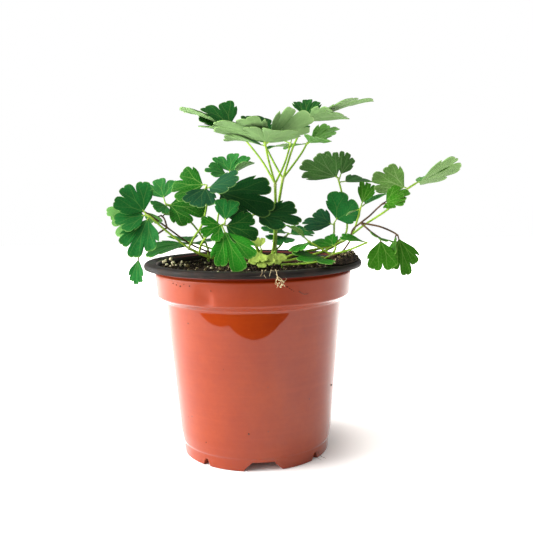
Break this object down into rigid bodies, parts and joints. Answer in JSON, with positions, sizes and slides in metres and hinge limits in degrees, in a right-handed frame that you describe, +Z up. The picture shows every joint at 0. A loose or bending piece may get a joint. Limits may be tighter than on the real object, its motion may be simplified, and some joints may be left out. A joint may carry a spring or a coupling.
{
  "type": "potted columbine",
  "caption": "Young columbine plant with lobed, round-toothed leaflets on slender stalks, growing in potting soil in a thin round nursery pot with a rolled lip.",
  "frame": {"origin": "centre of the pot's foot, on the surface it stands on", "axes": "+Z up along the pot's axis, -Y towards the viewer in the picture, +X to the viewer's right"},
  "size_m": [0.2091, 0.13, 0.2135],
  "materials": {
    "terracotta_plastic": "glossy terracotta outside, black lip and inside",
    "potting_soil": "loose dark peat with pale perlite grains",
    "columbine_leaf": "matt blue-green blades, paler underneath, on yellow-green stalks"
  },
  "bodies": {
    "root": {"pot": "terracotta_plastic", "soil": "potting_soil", "leaf_tall_left": "columbine_leaf", "leaf_tall_right": "columbine_leaf", "leaf_left_long": "columbine_leaf", "leaf_left_brown": "columbine_leaf", "leaf_rear_low": "columbine_leaf", "leaf_rear_high": "columbine_leaf", "leaf_centre_dark": "columbine_leaf", "leaf_right_upright": "columbine_leaf", "leaf_right_long": "columbine_leaf", "leaf_right_brown": "columbine_leaf", "leaf_right_low": "columbine_leaf", "leaf_young": "columbine_leaf", "leaf_back": "columbine_leaf", "leaf_left_back": "columbine_leaf"}
  },
  "joints": []
}
